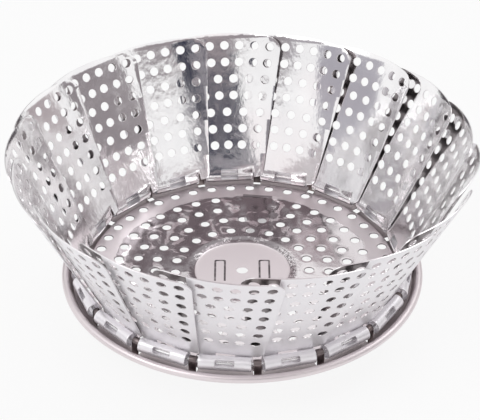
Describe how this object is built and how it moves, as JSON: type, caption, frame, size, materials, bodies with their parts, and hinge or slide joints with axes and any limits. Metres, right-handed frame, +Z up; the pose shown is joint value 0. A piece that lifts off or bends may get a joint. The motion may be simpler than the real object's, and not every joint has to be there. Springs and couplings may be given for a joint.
{
  "type": "folding steamer basket",
  "caption": "Folding steamer basket with a perforated base on short folding legs and a ring of overlapping hinged perforated petals.",
  "frame": {"origin": "on the basket's centre line, at the height of the soles of the feet", "axes": "+Z up along the centre line; +X to the picture's right; +Y away from the camera"},
  "size_m": [0.176, 0.1761, 0.0747],
  "materials": {
    "base_steel": "polished",
    "petal_steel": "polished",
    "ring_steel": "drawn wire",
    "leg_steel": "satin"
  },
  "bodies": {
    "base": {"base_plate": "base_steel", "hinge_ring": "ring_steel", "leg_pin_1": "ring_steel", "leg_pin_2": "ring_steel", "leg_pin_3": "ring_steel", "leg_bracket_1": "leg_steel", "leg_bracket_2": "leg_steel", "leg_bracket_3": "leg_steel"},
    "petal_01": {"petal_01": "petal_steel"},
    "petal_02": {"petal_02": "petal_steel"},
    "petal_03": {"petal_03": "petal_steel"},
    "petal_04": {"petal_04": "petal_steel"},
    "petal_05": {"petal_05": "petal_steel"},
    "petal_06": {"petal_06": "petal_steel"},
    "petal_07": {"petal_07": "petal_steel"},
    "petal_08": {"petal_08": "petal_steel"},
    "petal_09": {"petal_09": "petal_steel"},
    "petal_10": {"petal_10": "petal_steel"},
    "petal_11": {"petal_11": "petal_steel"},
    "petal_12": {"petal_12": "petal_steel"},
    "petal_13": {"petal_13": "petal_steel"},
    "petal_14": {"petal_14": "petal_steel"},
    "petal_15": {"petal_15": "petal_steel"},
    "petal_16": {"petal_16": "petal_steel"},
    "petal_17": {"petal_17": "petal_steel"},
    "leg_1": {"leg_1": "leg_steel"},
    "leg_2": {"leg_2": "leg_steel"},
    "leg_3": {"leg_3": "leg_steel"}
  },
  "joints": [
    {"name": "petal_01_fold", "type": "hinge", "parent": "base", "child": "petal_01", "pos_m": [-0.05862, 0.02315, 0.0205], "axis": [0.3673, 0.9301, 0], "range_deg": [-43, 26]},
    {"name": "petal_02_fold", "type": "hinge", "parent": "base", "child": "petal_02", "pos_m": [-0.0463, 0.04277, 0.0205], "axis": [0.6785, 0.7346, 0], "range_deg": [-43, 26]},
    {"name": "petal_03_fold", "type": "hinge", "parent": "base", "child": "petal_03", "pos_m": [-0.02773, 0.0566, 0.0205], "axis": [0.8981, 0.4399, 0], "range_deg": [-43, 26]},
    {"name": "petal_04_fold", "type": "hinge", "parent": "base", "child": "petal_04", "pos_m": [-0.00541, 0.0628, 0.0205], "axis": [0.9963, 0.0858, 0], "range_deg": [-43, 26]},
    {"name": "petal_05_fold", "type": "hinge", "parent": "base", "child": "petal_05", "pos_m": [0.01764, 0.06051, 0.0205], "axis": [0.96, -0.2799, 0], "range_deg": [-43, 26]},
    {"name": "petal_06_fold", "type": "hinge", "parent": "base", "child": "petal_06", "pos_m": [0.03831, 0.05005, 0.0205], "axis": [0.7941, -0.6078, 0], "range_deg": [-43, 26]},
    {"name": "petal_07_fold", "type": "hinge", "parent": "base", "child": "petal_07", "pos_m": [0.0538, 0.03283, 0.0205], "axis": [0.5209, -0.8536, 0], "range_deg": [-43, 26]},
    {"name": "petal_08_fold", "type": "hinge", "parent": "base", "child": "petal_08", "pos_m": [0.06203, 0.01118, 0.0205], "axis": [0.1773, -0.9842, 0], "range_deg": [-43, 26]},
    {"name": "petal_09_fold", "type": "hinge", "parent": "base", "child": "petal_09", "pos_m": [0.06188, -0.01199, 0.0205], "axis": [-0.1902, -0.9818, 0], "range_deg": [-43, 26]},
    {"name": "petal_10_fold", "type": "hinge", "parent": "base", "child": "petal_10", "pos_m": [0.05337, -0.03353, 0.0205], "axis": [-0.532, -0.8468, 0], "range_deg": [-43, 26]},
    {"name": "petal_11_fold", "type": "hinge", "parent": "base", "child": "petal_11", "pos_m": [0.03766, -0.05055, 0.0205], "axis": [-0.8019, -0.5974, 0], "range_deg": [-43, 26]},
    {"name": "petal_12_fold", "type": "hinge", "parent": "base", "child": "petal_12", "pos_m": [0.01685, -0.06074, 0.0205], "axis": [-0.9636, -0.2674, 0], "range_deg": [-43, 26]},
    {"name": "petal_13_fold", "type": "hinge", "parent": "base", "child": "petal_13", "pos_m": [-0.00622, -0.06272, 0.0205], "axis": [-0.9951, 0.0988, 0], "range_deg": [-43, 26]},
    {"name": "petal_14_fold", "type": "hinge", "parent": "base", "child": "petal_14", "pos_m": [-0.02846, -0.05624, 0.0205], "axis": [-0.8922, 0.4516, 0], "range_deg": [-43, 26]},
    {"name": "petal_15_fold", "type": "hinge", "parent": "base", "child": "petal_15", "pos_m": [-0.04686, -0.04216, 0.0205], "axis": [-0.6689, 0.7434, 0], "range_deg": [-43, 26]},
    {"name": "petal_16_fold", "type": "hinge", "parent": "base", "child": "petal_16", "pos_m": [-0.05892, -0.02239, 0.0205], "axis": [-0.3552, 0.9348, 0], "range_deg": [-43, 26]},
    {"name": "petal_17_fold", "type": "hinge", "parent": "base", "child": "petal_17", "pos_m": [-0.06303, 0.00041, 0.0205], "axis": [0.0065, 1, 0], "range_deg": [-43, 26]},
    {"name": "leg_1_fold", "type": "hinge", "parent": "base", "child": "leg_1", "pos_m": [0.00583, 0.04614, 0.0135], "axis": [-0.9921, 0.1253, 0], "range_deg": [0, 88]},
    {"name": "leg_2_fold", "type": "hinge", "parent": "base", "child": "leg_2", "pos_m": [0.03704, -0.02812, 0.0135], "axis": [0.6046, 0.7965, 0], "range_deg": [0, 88]},
    {"name": "leg_3_fold", "type": "hinge", "parent": "base", "child": "leg_3", "pos_m": [-0.04287, -0.01802, 0.0135], "axis": [0.3875, -0.9219, 0], "range_deg": [0, 88]}
  ],
  "couplings": [
    {"joint": "petal_02_fold", "follows": "petal_01_fold", "ratio": 1},
    {"joint": "petal_03_fold", "follows": "petal_01_fold", "ratio": 1},
    {"joint": "petal_04_fold", "follows": "petal_01_fold", "ratio": 1},
    {"joint": "petal_05_fold", "follows": "petal_01_fold", "ratio": 1},
    {"joint": "petal_06_fold", "follows": "petal_01_fold", "ratio": 1},
    {"joint": "petal_07_fold", "follows": "petal_01_fold", "ratio": 1},
    {"joint": "petal_08_fold", "follows": "petal_01_fold", "ratio": 1},
    {"joint": "petal_09_fold", "follows": "petal_01_fold", "ratio": 1},
    {"joint": "petal_10_fold", "follows": "petal_01_fold", "ratio": 1},
    {"joint": "petal_11_fold", "follows": "petal_01_fold", "ratio": 1},
    {"joint": "petal_12_fold", "follows": "petal_01_fold", "ratio": 1},
    {"joint": "petal_13_fold", "follows": "petal_01_fold", "ratio": 1},
    {"joint": "petal_14_fold", "follows": "petal_01_fold", "ratio": 1},
    {"joint": "petal_15_fold", "follows": "petal_01_fold", "ratio": 1},
    {"joint": "petal_16_fold", "follows": "petal_01_fold", "ratio": 1},
    {"joint": "petal_17_fold", "follows": "petal_01_fold", "ratio": 1}
  ]
}
